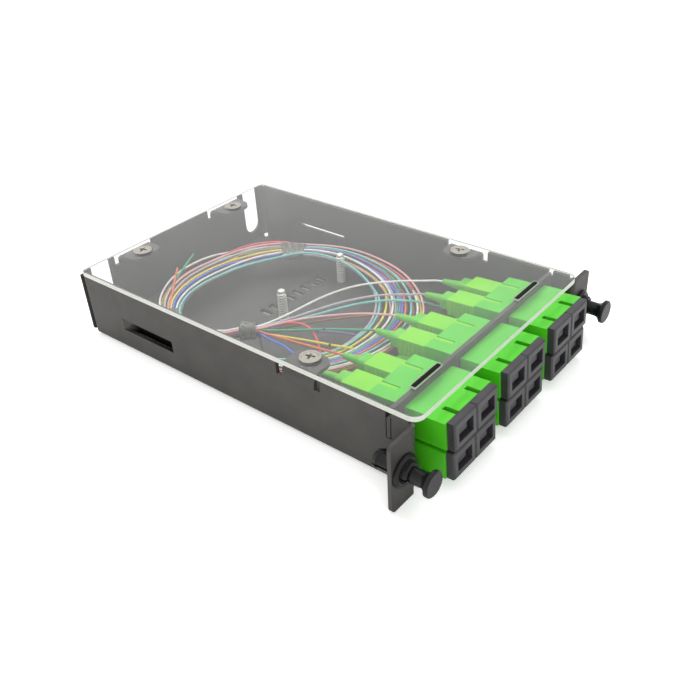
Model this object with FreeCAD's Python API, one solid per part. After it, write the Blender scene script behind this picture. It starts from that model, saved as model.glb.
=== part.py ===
import FreeCAD, Part
import math
import os

os.makedirs("parts", exist_ok=True)
V = FreeCAD.Vector

# Frame: X runs out of the open front, Y across, Z up. The ears' rear faces lie at X = 0,
# the underside of the floor at Z = 0. All sizes are in millimetres.

# Folded steel tray
sheet = 1.5                    # sheet thickness of tray and adapter plate
bend_inside = 0.8              # inside radius of each fold
tray_length = 165.1            # ears' front faces to the back wall's outer face
tray_width = 105.6             # over the side walls
wall_height = 27.5
ear_width = 12.2               # how far an ear stands out from its side wall
ear_height = 26.4
ear_corner = 2.0
corner_gap = 1.2               # open gap between a side wall's end and the back wall
fold_relief = 0.7              # metal left free beside a fold's end
relief_radius = 1.3            # round relief holes in the rear bottom corners

# Screw tabs folded in from the wall tops
notch = 2.6                    # slits beside a tab
tab_bend = 1.9                 # inside radius of a tab's fold
side_tab_x = -45.6
side_tab_width = 14.2
side_tab_reach = 11.0          # from the wall's outer face
side_notch_depth = 4.6
back_tab_y = 26.4
back_tab_width = 15.0
back_tab_reach = 12.1
back_notch_depth = 4.2
tab_corner = 4.0
side_screw_in = 6.9            # screw centre from the wall's outer face
back_screw_in = 8.1

# Openings in the walls and the floor
cable_slot_y = 43.6
cable_slot_width = 9.4
cable_slot_bottom = 6.2
window_from_back = 52.6        # front end of the lanced windows, from the back wall
window_length = 29.5
window_bottom = 9.5
window_height = 5.0
lance_gap = 0.35
lance_slope = 6.0              # length over which the strip cut from a window runs inwards
lance_short_by = 3.0           # the strip ends before the window's front end
lance_depth_left = 0.8         # how far the +Y strip is pressed in
lance_depth_right = 2.8        # and the -Y one
holder_slots = 8               # row of slots in the floor
holder_slot_from_back = 53.1
holder_slot_y = -2.7
holder_slot_pitch = 5.0
holder_slot_length = 6.0
holder_slot_width = 2.4

# Two clinched threaded studs
stud_from_back = 62.5
stud_first_y = -1.9
stud_spacing = 38.2
stud_radius = 2.0
stud_top = 15.0

# Clear cover
cover_thick = 2.0
cover_overhang = 1.0           # past the ears' front faces
cover_back_inset = 0.9
cover_front_corner = 4.0
cover_back_corner = 2.5

# Countersunk cover screws
screw_radius = 2.0
screw_head_radius = 3.8
screw_length = 5.0
screw_head_depth = 1.7
screw_crown = 0.4
screw_hole_clearance = 0.15
thread_clearance = 0.05
recess_span = 4.2
recess_width = 0.9
recess_depth = 1.3

# Adapter plate
plate_x = -8.35                # middle of its thickness
plate_clearance = 0.3
plate_slot_bottom = 17.2       # of the slots in the side walls
plate_end_drop = 2.2           # from the wall's top down to the plate's ends in those slots
plate_tab_y = 32.35
plate_tab_length = 14.7

# Duplex adapters, three across and two high
adapter_pitch = 32.1
adapter_columns = 3
row_bottom = 2.6
row_pitch = 11.7
adapter_height = 10.0
droop = 3.5                    # adapters hang down at the rear in their windows, in degrees
adapter_length = 29.7
adapter_front = 7.7
flange_width = 26.8
adapter_width = 26.0
window_clearance = 0.12        # plate window round an adapter
flange_gap = 0.32              # between the plate and the wider front part
port_pitch = 12.7
port_width = 9.2
port_height = 7.0
port_floor = 1.2
port_depth = 12.3
key_slot_width = 1.9
key_slot_length = 7.7          # at the rear
front_slot_length = 5.2
holder_radius = 2.6            # tube that holds the alignment sleeve
holder_length = 12.0
sleeve_radius = 1.6
sleeve_length = 11.4
sleeve_slit = 0.4
ferrule_radius = 1.25
ferrule_clearance = 0.02
holder_clearance = 0.08

# Dust caps
cap_clearance = 0.08
cap_seat = 0.05
cap_width = 12.4
cap_height = 10.3
cap_rise = 0.3                 # cap centre above the port centre
cap_flange = 3.0
cap_edge = 0.5
cap_plug = 8.2
cap_wall = 1.0
cap_recess_width = 8.2
cap_recess_height = 5.6
cap_recess_depth = 1.3
cap_side_slit = 1.7            # slits through the recess into the hollow plug
cap_low_slit = 1.4
cap_rib = 0.8

# Connectors
connector_clearance = 0.1
connector_out = 13.5           # how far the housing stands out of the adapter
connector_in = 7.3             # how far it reaches in
key_width = 1.7
key_height = 1.7
key_length = 7.0
mouth_width = 7.4
mouth_height = 5.4
mouth_depth = 3.0
grip_grooves = 5
grip_pitch = 1.8
grip_width = 0.8
grip_depth = 0.3
grip_height = 4.6
collar_length = 4.2
collar_width = 6.6
collar_height = 5.4
boot_length = 8.6
boot_radius = 1.95
boot_tip_radius = 1.1
ferrule_back = 3.5             # length of ferrule inside the housing
ferrule_gap = 0.05

# Plungers and grommets
plunger_from_wall = 5.9        # plunger axis from the side wall's outer face
plunger_z = 13.7
plunger_out = 3.5              # how far it is pulled out at rest
head_radius = 4.5
head_rim = 1.1
flare_length = 2.9
shaft_radius = 2.6
pin_radius = 2.0
plunger_clearance = 0.08
collar_out = 5.0               # front of the raised collar
grommet_collar_radius = 4.0
grommet_flange_radius = 5.8
grommet_flange = 1.6
collet_radius = 3.2
collet_barb = 3.55
collet_length = 8.6
collet_slit = 0.8
hole_clearance = 0.1
tip_inset = 2.6                # plunger tip inside the collet when pulled out

# Fibres
fibre_radius = 0.45
fibre_in_boot = 2.0            # straight length inside a boot's tip, and again outside it
fibre_lead = 1.5               # and before the bundle's face
coil_bottom = 9.4
coil_top = 12.8
coil_back_gap = 5.1            # to the back wall
coil_side_gap = 3.4            # to the side walls
coil_front_gap = 2.3           # to the boots' collars
coil_band_end = 14.0           # width of the band at the coil's ends
coil_band_side = 8.6           # and at its sides
coil_near_corner = 40.0
wrap_angles = {"side": 124.0, "back": 231.0}
bundle_x = -90.3
bundle_y = -27.8
bundle_z = 12.7
bundle_angle = 216.0           # heading of the bundle in plan
bundle_length = 22.0
bundle_half_width = 1.7
bundle_half_height = 1.7
wrap_thick = 0.6
wrap_length = 11.0

half_width = tray_width / 2
inner_width = half_width - sheet
bend_outside = bend_inside + sheet
ear_front = sheet
back_x = ear_front - tray_length
side_end = back_x + sheet + corner_gap
cover_top = wall_height + cover_thick
row_heights = [row_bottom + row_pitch * row for row in range(2)]
port_lift = port_floor + port_height / 2
adapter_ys = [adapter_pitch * (column - (adapter_columns - 1) / 2) for column in range(adapter_columns)]
adapter_back = adapter_front - adapter_length
adapter_middle = adapter_front - adapter_length / 2
plate_front = plate_x + sheet / 2
plunger_y = half_width + plunger_from_wall
window_front = back_x + window_from_back
holder_slot_x = back_x + holder_slot_from_back
stud_x = back_x + stud_from_back
connector_back = adapter_back - connector_out
boot_tip = connector_back - collar_length - boot_length
coil_back = back_x + sheet + coil_back_gap
coil_front = connector_back - collar_length - coil_front_gap
coil_x = (coil_back + coil_front) / 2
coil_half_length = (coil_front - coil_back) / 2
coil_half_width = inner_width - coil_side_gap
sides = (("left", 1), ("right", -1))


def point(plane, u, v, w):
    if plane == "xy":
        return V(u, v, w)
    if plane == "xz":
        return V(u, w, v)
    return V(w, u, v)


def slab(plane, corners, low, high):
    """Solid between low and high of an outline whose corners are (u, v) or (u, v, radius)."""
    spots = [point(plane, corner[0], corner[1], low) for corner in corners]
    enters, middles, leaves = [], [], []
    for index, corner in enumerate(corners):
        here = spots[index]
        radius = corner[2] if len(corner) > 2 else 0.0
        if not radius:
            enters.append(here)
            middles.append(None)
            leaves.append(here)
            continue
        back = (spots[index - 1] - here).normalize()
        ahead = (spots[(index + 1) % len(spots)] - here).normalize()
        half = back.getAngle(ahead) / 2
        enters.append(here + back * (radius / math.tan(half)))
        leaves.append(here + ahead * (radius / math.tan(half)))
        middles.append(here + (back + ahead).normalize() * (radius / math.sin(half) - radius))
    edges = []
    for index in range(len(corners)):
        if middles[index]:
            edges.append(Part.Arc(enters[index], middles[index], leaves[index]).toShape())
        following = enters[(index + 1) % len(corners)]
        if leaves[index].distanceToPoint(following) > 1e-6:
            edges.append(Part.LineSegment(leaves[index], following).toShape())
    face = Part.Face(Part.Wire(edges))
    return face.extrude(point(plane, 0, 0, high) - point(plane, 0, 0, low))


def block(x_low, x_high, y_low, y_high, z_low, z_high):
    return Part.makeBox(x_high - x_low, y_high - y_low, z_high - z_low, V(x_low, y_low, z_low))


def centred(x_low, x_high, y, z, width, height):
    return block(x_low, x_high, y - width / 2, y + width / 2, z - height / 2, z + height / 2)


def rod(x_low, x_high, y, z, radius):
    return Part.makeCylinder(radius, x_high - x_low, V(x_low, y, z), V(1, 0, 0))


def upright(x, y, z_low, z_high, radius):
    return Part.makeCylinder(radius, z_high - z_low, V(x, y, z_low))


def turned(profile, start, axis):
    """Revolve (distance along the axis, radius) points about an axis through start."""
    side = V(0, 1, 0)
    spots = [start + axis * along + side * radius for along, radius in profile]
    wire = Part.makePolygon(spots + [spots[0]])
    return Part.Face(wire).revolve(start, axis, 360)


def mirrored(shape):
    return shape.mirror(V(0, 0, 0), V(0, 1, 0))


def save(name, *solids):
    shape = solids[0] if len(solids) == 1 else Part.makeCompound(list(solids))
    shape.exportStep("parts/" + name + ".step")
    print(name, round(shape.Volume, 1), shape.isValid())


def on_both_sides(shape):
    return [shape, mirrored(shape)]


# --- tray ---

def tray_channel():
    """Floor and side walls as one folded channel."""
    outline = [(-half_width, 0, bend_outside), (half_width, 0, bend_outside),
               (half_width, wall_height), (inner_width, wall_height),
               (inner_width, sheet, bend_inside), (-inner_width, sheet, bend_inside),
               (-inner_width, wall_height), (-half_width, wall_height)]
    return slab("yz", outline, side_end, ear_front - bend_outside)


def tray_floor():
    """Flat floor that runs on past the side walls' ends to the front edge and the back fold."""
    flat = half_width - bend_outside
    return block(back_x + bend_outside, ear_front, -flat, flat, 0, sheet)


def tray_back():
    """Back wall with its fold along the floor."""
    flat = half_width - bend_outside
    fold = slab("xz", [(back_x + bend_outside, 0), (back_x, 0, bend_outside), (back_x, bend_outside + 1),
                       (back_x + sheet, bend_outside + 1), (back_x + sheet, sheet, bend_inside),
                       (back_x + bend_outside, sheet)], -flat, flat)
    wall = block(back_x, back_x + sheet, -half_width, half_width, bend_outside, wall_height)
    return fold.fuse(wall)


def ear():
    """Left ear with the fold that joins it to the side wall."""
    tip = half_width + ear_width
    low = bend_outside + fold_relief
    fold = slab("xy", [(ear_front - bend_outside - 1, half_width), (0, half_width, bend_inside),
                       (0, half_width + bend_inside + 1), (ear_front, half_width + bend_inside + 1),
                       (ear_front, inner_width, bend_outside), (ear_front - bend_outside - 1, inner_width)],
                low, ear_height)
    near = half_width + bend_inside
    flat = slab("yz", [(near, 0), (tip, 0, ear_corner), (tip, ear_height, ear_corner), (near, ear_height)],
                0, ear_front)
    hole = rod(-1, ear_front + 1, plunger_y, plunger_z, collet_radius + hole_clearance)
    return fold.fuse(flat).cut(hole)


def side_tab():
    """Left screw tab, folded in from the side wall's top."""
    low = wall_height - side_notch_depth
    reach = half_width - side_tab_reach
    first = side_tab_x - side_tab_width / 2
    last = side_tab_x + side_tab_width / 2
    fold = slab("yz", [(half_width, low), (half_width, wall_height, tab_bend + sheet), (reach, wall_height),
                       (reach, wall_height - sheet), (inner_width, wall_height - sheet, tab_bend),
                       (inner_width, low)], first, last)
    plan = slab("xy", [(first, half_width), (first, reach, tab_corner), (last, reach, tab_corner),
                       (last, half_width)], low, wall_height)
    return fold.common(plan)


def side_tab_gap():
    first = side_tab_x - side_tab_width / 2 - notch
    last = side_tab_x + side_tab_width / 2 + notch
    return block(first, last, inner_width - 1, half_width + 1, wall_height - side_notch_depth, wall_height + 1)


def back_tab():
    """Screw tab at +Y, folded in from the back wall's top."""
    low = wall_height - back_notch_depth
    reach = back_x + back_tab_reach
    first = back_tab_y - back_tab_width / 2
    last = back_tab_y + back_tab_width / 2
    fold = slab("xz", [(back_x, low), (back_x, wall_height, tab_bend + sheet), (reach, wall_height),
                       (reach, wall_height - sheet), (back_x + sheet, wall_height - sheet, tab_bend),
                       (back_x + sheet, low)], first, last)
    plan = slab("xy", [(back_x, first), (reach, first, tab_corner), (reach, last, tab_corner),
                       (back_x, last)], low, wall_height)
    return fold.common(plan)


def back_tab_gap():
    first = back_tab_y - back_tab_width / 2 - notch
    last = back_tab_y + back_tab_width / 2 + notch
    return block(back_x - 1, back_x + sheet + 1, first, last, wall_height - back_notch_depth, wall_height + 1)


def cable_slot():
    """Open-topped round-ended slot in the back wall."""
    radius = cable_slot_width / 2
    middle = cable_slot_bottom + radius
    round_end = rod(back_x - 1, back_x + sheet + 1, cable_slot_y, middle, radius)
    straight = block(back_x - 1, back_x + sheet + 1, cable_slot_y - radius, cable_slot_y + radius,
                     middle, wall_height + 1)
    return round_end.fuse(straight)


def wall_window():
    return block(window_front - window_length, window_front, inner_width - 1, half_width + 1,
                 window_bottom, window_bottom + window_height)


def lance(depth):
    """Strip cut from a window, joined at its rear end and pressed in by depth."""
    hinge = window_front - window_length
    bend = hinge + lance_slope
    end = window_front - lance_short_by
    corners = [(hinge - 0.8, half_width), (hinge, half_width), (bend, half_width - depth), (end, half_width - depth),
               (end, inner_width - depth), (bend - 0.3, inner_width - depth), (hinge - 0.3, inner_width),
               (hinge - 0.8, inner_width)]
    return slab("xy", corners, window_bottom + lance_gap, window_bottom + window_height - lance_gap)


def plate_slot():
    """Open-topped slot in the side wall for the adapter plate's end."""
    half = sheet / 2 + plate_clearance
    return block(plate_x - half, plate_x + half, inner_width - 1, half_width + 1,
                 plate_slot_bottom, wall_height + 1)


def holder_slot_row():
    slots = []
    for number in range(holder_slots):
        y = holder_slot_y + number * holder_slot_pitch
        slots.append(block(holder_slot_x - holder_slot_length / 2, holder_slot_x + holder_slot_length / 2,
                           y - holder_slot_width / 2, y + holder_slot_width / 2, -1, sheet + 1))
    return slots


def stud_places():
    return [(stud_x, stud_first_y + number * stud_spacing) for number in range(2)]


def screw_places():
    side = half_width - side_screw_in
    back = back_x + back_screw_in
    return [(side_tab_x, side), (side_tab_x, -side), (back, back_tab_y), (back, -back_tab_y)]


def tray():
    """The folded tray with ears, tabs and all its openings."""
    body = tray_channel().fuse([tray_floor(), tray_back()] + on_both_sides(ear()))
    cuts = []
    for cutter in (side_tab_gap(), back_tab_gap(), cable_slot(), wall_window(), plate_slot()):
        cuts += on_both_sides(cutter)
    flat = half_width - bend_outside
    for y in (flat, -flat):
        cuts.append(upright(back_x + bend_outside, y, -1, sheet + 1, relief_radius))
    for x, y in stud_places():
        cuts.append(upright(x, y, -1, sheet + 1, stud_radius))
    body = body.cut(cuts + holder_slot_row())
    body = body.fuse(on_both_sides(side_tab()) + on_both_sides(back_tab())
                     + [lance(lance_depth_left), mirrored(lance(lance_depth_right))])
    holes = [upright(x, y, wall_height - sheet - 1, wall_height + 1, screw_radius + thread_clearance)
             for x, y in screw_places()]
    return body.cut(holes).removeSplitter()


# --- cover, screws, studs, adapter plate ---

def cover_screw(x, y):
    """Countersunk screw with a low crowned head and a cross recess."""
    tip = cover_top - screw_length
    neck = cover_top - screw_head_depth
    profile = [(0, 0), (0, screw_radius - 0.4), (0.5, screw_radius), (neck - tip, screw_radius),
               (cover_top - tip, screw_head_radius), (cover_top - tip + screw_crown * 0.75, screw_head_radius / 2),
               (cover_top - tip + screw_crown, 0)]
    body = turned(profile, V(x, y, tip), V(0, 0, 1))
    low = cover_top + screw_crown - recess_depth
    reach = recess_span / 2
    wide = recess_width / 2
    cross = block(x - reach, x + reach, y - wide, y + wide, low, cover_top + 1)
    cross = cross.fuse(block(x - wide, x + wide, y - reach, y + reach, low, cover_top + 1))
    return body.cut(cross)


def screw_hole(x, y):
    """Countersunk hole in the cover for one screw."""
    radius = screw_radius + screw_hole_clearance
    head = screw_head_radius + screw_hole_clearance
    cone = Part.makeCone(radius, head, screw_head_depth, V(x, y, cover_top - screw_head_depth))
    return upright(x, y, wall_height - 1, cover_top, radius).fuse(cone)


def cover():
    front = ear_front + cover_overhang
    back = back_x + cover_back_inset
    plate = slab("xy", [(front, -half_width, cover_front_corner), (front, half_width, cover_front_corner),
                        (back, half_width, cover_back_corner), (back, -half_width, cover_back_corner)],
                 wall_height, cover_top)
    half = sheet / 2 + plate_clearance
    long = plate_tab_length / 2 + plate_clearance
    slot = block(plate_x - half, plate_x + half, plate_tab_y - long, plate_tab_y + long,
                 wall_height - 1, cover_top + 1)
    return plate.cut(on_both_sides(slot) + [screw_hole(x, y) for x, y in screw_places()])


def stud(x, y):
    """Clinched stud, flush with the floor's underside, with a rounded end."""
    profile = [(0, 0), (0, stud_radius), (stud_top - 0.9, stud_radius), (stud_top - 0.3, stud_radius * 0.75),
               (stud_top, stud_radius * 0.35), (stud_top, 0)]
    return turned(profile, V(x, y, 0), V(0, 0, 1))


def adapter_plate():
    """Plate that carries the adapters, held by wall slots and by tabs through the cover."""
    top = wall_height - plate_clearance
    low = plate_x - sheet / 2
    reach = inner_width - plate_clearance
    corner = bend_inside + plate_clearance
    body = slab("yz", [(-reach, sheet, corner), (reach, sheet, corner), (reach, top), (-reach, top)],
                low, plate_front)
    pieces = [block(low, plate_front, reach - 1, half_width, plate_slot_bottom + plate_clearance,
                    wall_height - plate_end_drop),
              block(low, plate_front, plate_tab_y - plate_tab_length / 2, plate_tab_y + plate_tab_length / 2,
                    top - 1, cover_top)]
    body = body.fuse([copy for piece in pieces for copy in on_both_sides(piece)])
    bottom = row_heights[0] - window_clearance
    height = row_heights[-1] + adapter_height + window_clearance
    wide = adapter_width / 2 + window_clearance
    windows = [block(low - 1, plate_front + 1, y - wide, y + wide, bottom, height) for y in adapter_ys]
    return body.cut(windows).removeSplitter()


# --- adapters and what goes into them ---

def hung(shape, low):
    """Shape turned about the plate in its window, so that its rear hangs down."""
    shape.rotate(V(plate_x, 0, low + adapter_height / 2), V(0, 1, 0), -droop)
    return shape


def hung_point(x, y, z, low):
    turn = math.radians(droop)
    across = x - plate_x
    up = z - low - adapter_height / 2
    return (plate_x + across * math.cos(turn) - up * math.sin(turn), y,
            low + adapter_height / 2 + across * math.sin(turn) + up * math.cos(turn))


def port_places(y, low):
    return [(y + port_pitch * side, low + port_lift) for side in (-0.5, 0.5)]


def adapter(y, low):
    """Duplex through adapter: wider front part, two ports, key slots and sleeve holders."""
    middle = low + adapter_height / 2
    body = centred(adapter_back, plate_front, y, middle, adapter_width, adapter_height)
    body = body.fuse(centred(plate_front + flange_gap, adapter_front, y, middle, flange_width, adapter_height))
    cuts, holders, bores = [], [], []
    for port_y, port_z in port_places(y, low):
        top = low + adapter_height + 1
        for start, end in ((adapter_front - port_depth, adapter_front + 1),
                           (adapter_back - 1, adapter_back + port_depth)):
            cuts.append(centred(start, end, port_y, port_z, port_width, port_height))
        for start, end in ((adapter_front - front_slot_length, adapter_front + 1),
                           (adapter_back - 1, adapter_back + key_slot_length)):
            cuts.append(block(start, end, port_y - key_slot_width / 2, port_y + key_slot_width / 2, port_z, top))
        holders.append(rod(adapter_middle - holder_length / 2, adapter_middle + holder_length / 2,
                           port_y, port_z, holder_radius))
        bores.append(rod(adapter_middle - holder_length, adapter_middle + holder_length,
                         port_y, port_z, sleeve_radius + holder_clearance))
    return body.cut(cuts).fuse(holders).cut(bores).removeSplitter()


def alignment_sleeve(y, z):
    """Slit sleeve that lines up two ferrule ends."""
    start = adapter_middle - sleeve_length / 2
    end = adapter_middle + sleeve_length / 2
    tube = rod(start, end, y, z, sleeve_radius)
    bore = rod(start - 1, end + 1, y, z, ferrule_radius + ferrule_clearance)
    slit = block(start - 1, end + 1, y - sleeve_slit / 2, y + sleeve_slit / 2, z, z + sleeve_radius + 1)
    return tube.cut([bore, slit])


def ferrule(y, z):
    """Ferrule from inside the housing to the middle of the adapter, with a chamfered end."""
    start = adapter_back + connector_in - mouth_depth - ferrule_back
    length = adapter_middle - ferrule_gap - start
    profile = [(0, 0), (0, ferrule_radius), (length - 0.6, ferrule_radius),
               (length, ferrule_radius - 0.3), (length, 0)]
    return turned(profile, V(start, y, z), V(1, 0, 0))


def dust_cap(y, z):
    """Cap whose hollow plug fits the port and whose flange covers it."""
    seat = adapter_front + cap_seat
    front = seat + cap_flange
    middle = z + cap_rise
    flange = centred(seat, front, y, middle, cap_width, cap_height)
    face_edges = [edge for edge in flange.Edges
                  if abs(edge.BoundBox.XMin - front) < 1e-6 and edge.BoundBox.XLength < 1e-6]
    flange = flange.makeChamfer(cap_edge, face_edges)
    recess = centred(front - cap_recess_depth, front + 1, y, middle, cap_recess_width, cap_recess_height)
    plug_width = port_width - 2 * cap_clearance
    plug_height = port_height - 2 * cap_clearance
    plug = centred(seat - cap_plug, seat + cap_flange / 2, y, z, plug_width, plug_height)
    hollow = centred(seat - cap_plug - 1, seat - cap_wall, y, z,
                     plug_width - 2 * cap_wall, plug_height - 2 * cap_wall)
    ribs = [centred(seat - cap_plug * 0.7, seat - cap_wall, y + side * (plug_width / 2 - cap_wall), z,
                    cap_rib, plug_height - cap_wall) for side in (-1, 1)]
    side = y + cap_recess_width / 2
    low = middle - cap_recess_height / 2
    slits = [block(seat - cap_wall - 1, front, side - cap_side_slit, side, low, low + cap_recess_height),
             block(seat - cap_wall - 1, front, side - cap_recess_width, side, low, low + cap_low_slit)]
    return flange.cut(recess).fuse(plug.cut(hollow)).fuse(ribs).cut([recess] + slits).removeSplitter()


def connector_width():
    return port_width - 2 * connector_clearance


def connector_height():
    return port_height - 2 * connector_clearance - 0.2


def connector(y, z):
    """Push-pull housing with key, ribbed grip sides and an open mouth for the ferrule."""
    front = adapter_back + connector_in
    back = connector_back
    width = connector_width()
    height = connector_height()
    body = centred(back, front, y, z, width, height)
    key = block(front - key_length, front, y - key_width / 2, y + key_width / 2, z, z + height / 2 + key_height)
    mouth = centred(front - mouth_depth, front + 1, y, z, mouth_width, mouth_height)
    bore = rod(front - mouth_depth - ferrule_back, front + 1, y, z, ferrule_radius)
    cuts = [mouth, bore]
    for number in range(grip_grooves):
        x = back + 2 + number * grip_pitch
        for side in (-1, 1):
            cuts.append(centred(x, x + grip_width, y + side * width / 2, z, 2 * grip_depth, grip_height))
    return body.fuse(key).cut(cuts).removeSplitter()


def boot(y, z):
    """Collar and tapered strain relief with a hole for the fibre."""
    collar_back = connector_back - collar_length
    collar = slab("yz", [(y - collar_width / 2, z - collar_height / 2, 1.2),
                         (y + collar_width / 2, z - collar_height / 2, 1.2),
                         (y + collar_width / 2, z + collar_height / 2, 1.2),
                         (y - collar_width / 2, z + collar_height / 2, 1.2)], collar_back, connector_back)
    taper = Part.makeCone(boot_radius, boot_tip_radius, boot_length, V(collar_back, y, z), V(-1, 0, 0))
    bore = rod(boot_tip - 1, boot_tip + fibre_in_boot, y, z, fibre_radius)
    return collar.fuse(taper).cut(bore).removeSplitter()


# --- plungers and grommets ---

def plunger():
    """Left push-pull plunger: flat head, trumpet flare, shaft and collet-spreading pin."""
    step = collar_out - 0.1
    head_back = collar_out + plunger_out + flare_length
    tip = tip_inset - collet_length
    flare = []
    for number in range(7):
        share = number / 6
        flare.append((head_back - flare_length * (1 - share),
                      shaft_radius + (head_radius - shaft_radius) * share ** 2.5))
    profile = [(tip, 0), (tip, pin_radius - 0.5), (tip + 0.8, pin_radius), (step, pin_radius), (step, shaft_radius)]
    profile += flare
    profile += [(head_back + head_rim, head_radius), (head_back + head_rim + 0.3, head_radius - 0.4),
                (head_back + head_rim + 0.3, 0)]
    return turned(profile, V(0, plunger_y, plunger_z), V(1, 0, 0))


def grommet():
    """Left grommet: front flange, split collar and slit collet behind the ear."""
    seat = ear_front
    profile = [(-collet_length, 0), (-collet_length, collet_radius - 0.3), (-collet_length + 1.6, collet_barb),
               (-collet_length + 2.4, collet_radius), (seat, collet_radius), (seat, grommet_flange_radius),
               (seat + grommet_flange * 0.5, grommet_flange_radius), (seat + grommet_flange, grommet_flange_radius - 0.8),
               (seat + grommet_flange, grommet_collar_radius), (collar_out - 0.5, grommet_collar_radius),
               (collar_out, grommet_collar_radius - 0.5), (collar_out, 0)]
    body = turned(profile, V(0, plunger_y, plunger_z), V(1, 0, 0))
    wide_end = collar_out - plunger_out - 0.4
    bores = [rod(-collet_length - 1, collar_out + 1, plunger_y, plunger_z, pin_radius + plunger_clearance),
             rod(wide_end, collar_out + 1, plunger_y, plunger_z, shaft_radius + plunger_clearance)]
    half = collet_slit / 2
    reach = grommet_flange_radius
    rear = -collet_length - 1
    slits = [block(rear, -0.3, plunger_y - half, plunger_y + half, plunger_z - reach, plunger_z + reach),
             block(rear, -0.3, plunger_y - reach, plunger_y + reach, plunger_z - half, plunger_z + half),
             block(seat + grommet_flange, collar_out + 1, plunger_y - reach, plunger_y + reach,
                   plunger_z - half, plunger_z + half)]
    return body.cut(bores + slits).removeSplitter()


# --- fibres ---

def oval(long, wide, near_corner, low, high):
    """Oval plate round the coil's centre, squarer towards -Y."""
    corners = [(coil_x - long, -wide, near_corner), (coil_x + long, -wide, near_corner),
               (coil_x + long, wide, wide), (coil_x - long, wide, wide)]
    return slab("xy", corners, low, high)


def ring(grow):
    """Oval band of coiled fibre, or the same band grown by a wrap's thickness."""
    low = coil_bottom - grow
    high = coil_top + grow
    outer = oval(coil_half_length + grow, coil_half_width + grow, coil_near_corner + grow, low, high)
    inner = oval(coil_half_length - coil_band_end - grow, coil_half_width - coil_band_side - grow,
                 coil_near_corner - coil_band_side - grow, low, high)
    return outer.cut(inner)


def along_bundle(start, end, half_wide, half_high):
    """Bar on the bundle's heading, from start to end along it."""
    bar = block(start, end, -half_wide, half_wide, -half_high, half_high)
    bar.rotate(V(0, 0, 0), V(0, 0, 1), bundle_angle)
    bar.translate(V(bundle_x, bundle_y, bundle_z))
    return bar


def fibre_coil():
    """Outer shape of the coiled fibres with the bundle that joins the coil."""
    bundle = along_bundle(0, bundle_length, bundle_half_width, bundle_half_height)
    return ring(0).fuse(bundle).removeSplitter()


def band_wrap(angle):
    """Wrap round the coil in a direction from the coil's centre."""
    cutter = block(coil_half_width / 2, coil_half_length * 2, -wrap_length / 2, wrap_length / 2,
                   coil_bottom - coil_top, coil_top * 2)
    cutter.rotate(V(0, 0, 0), V(0, 0, 1), angle)
    cutter.translate(V(coil_x, 0, 0))
    return ring(wrap_thick).common(cutter).cut(ring(0))


def bundle_wrap():
    outside = along_bundle(0.3, 8.2, bundle_half_width + wrap_thick, bundle_half_height + wrap_thick)
    return outside.cut(along_bundle(0, bundle_length, bundle_half_width, bundle_half_height))


def tube(route):
    """Round fibre along straight runs joined by tangent arcs; prints its arc radii."""
    spots = [V(*place) for place in route]
    edges, radii, start = [], [], spots[0]
    for index in range(1, len(spots) - 1):
        here = spots[index]
        back = spots[index - 1] - here
        ahead = spots[index + 1] - here
        turn = math.pi - back.getAngle(ahead)
        reach = 0.45 * min(back.Length, ahead.Length)
        radius = reach / math.tan(turn / 2)
        radii.append(round(radius, 1))
        back.normalize()
        ahead.normalize()
        enter = here + back * reach
        leave = here + ahead * reach
        middle = here + (back + ahead).normalize() * (radius / math.cos(turn / 2) - radius)
        edges.append(Part.LineSegment(start, enter).toShape())
        edges.append(Part.Arc(enter, middle, leave).toShape())
        start = leave
    edges.append(Part.LineSegment(start, spots[-1]).toShape())
    path = Part.Wire(edges)
    first = spots[1] - spots[0]
    section = Part.Wire(Part.Circle(spots[0], first, fibre_radius).toShape())
    solid = path.makePipeShell([section], True, False)
    ideal = math.pi * fibre_radius ** 2 * path.Length
    print("fibre", round(path.Length, 1), "mm, volume ratio", round(solid.Volume / ideal, 4), "radii", radii)
    return solid


def bundle_entry(across, up, before):
    """Point before the bundle's front face, in fibre pitches from its middle."""
    turn = math.radians(bundle_angle)
    shift = across * 2.1 * fibre_radius
    return (bundle_x - shift * math.sin(turn) - before * math.cos(turn),
            bundle_y + shift * math.cos(turn) - before * math.sin(turn), bundle_z + up * 2.1 * fibre_radius)


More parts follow.
